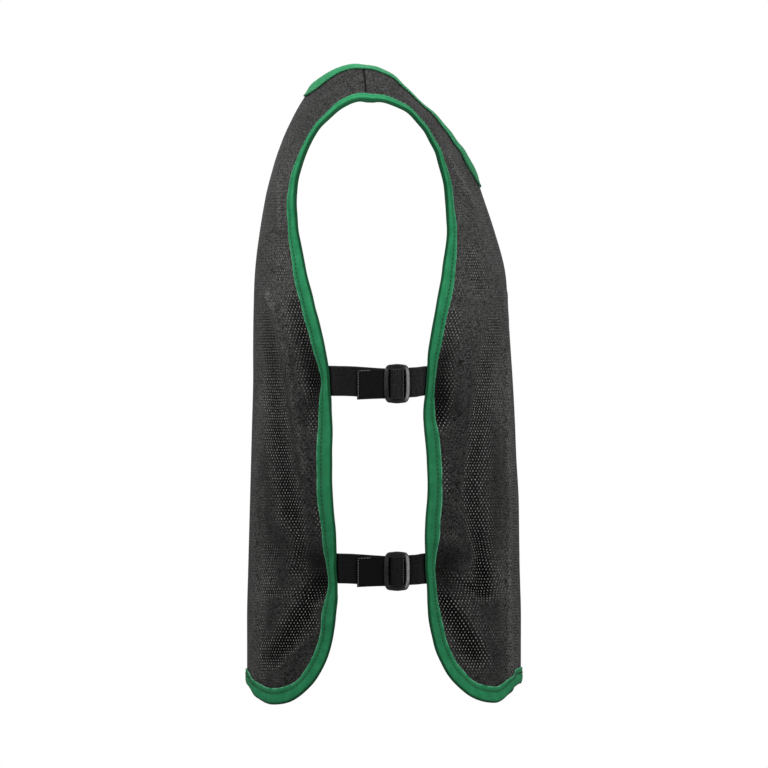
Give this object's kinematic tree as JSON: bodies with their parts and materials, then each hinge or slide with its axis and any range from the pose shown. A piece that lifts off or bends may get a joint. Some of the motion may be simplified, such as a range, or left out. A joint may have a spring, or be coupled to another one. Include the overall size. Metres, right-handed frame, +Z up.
{
  "type": "training bib",
  "caption": "Sleeveless mesh training bib in its worn form, with bound edges, a scooped neck and open sides closed by webbing straps with three-bar sliders.",
  "frame": {"origin": "on the centre plane, level with the neck ends of the shoulder seams, where the bib sits on the shoulders", "axes": "+Z up along the wearer's body, -Y the way the wearer faces, +X the wearer's left"},
  "size_m": [0.3832, 0.2756, 0.6443],
  "materials": {
    "mesh_cloth": "black warp-knit sports mesh with small staggered holes, faint sheen",
    "binding_tape": "green woven binding tape folded over the edge and stitched",
    "webbing": "black ribbed webbing",
    "black_plastic": "black moulded plastic, soft gloss"
  },
  "bodies": {
    "root": {"front_panel": "mesh_cloth", "back_panel": "mesh_cloth", "front_edge_binding": "binding_tape", "back_edge_binding": "binding_tape", "neck_binding": "binding_tape", "upper_right_front_strap": "webbing", "upper_right_back_strap": "webbing", "upper_right_buckle": "black_plastic", "upper_left_front_strap": "webbing", "upper_left_back_strap": "webbing", "upper_left_buckle": "black_plastic", "lower_right_front_strap": "webbing", "lower_right_back_strap": "webbing", "lower_right_buckle": "black_plastic", "lower_left_front_strap": "webbing", "lower_left_back_strap": "webbing", "lower_left_buckle": "black_plastic"}
  },
  "joints": []
}
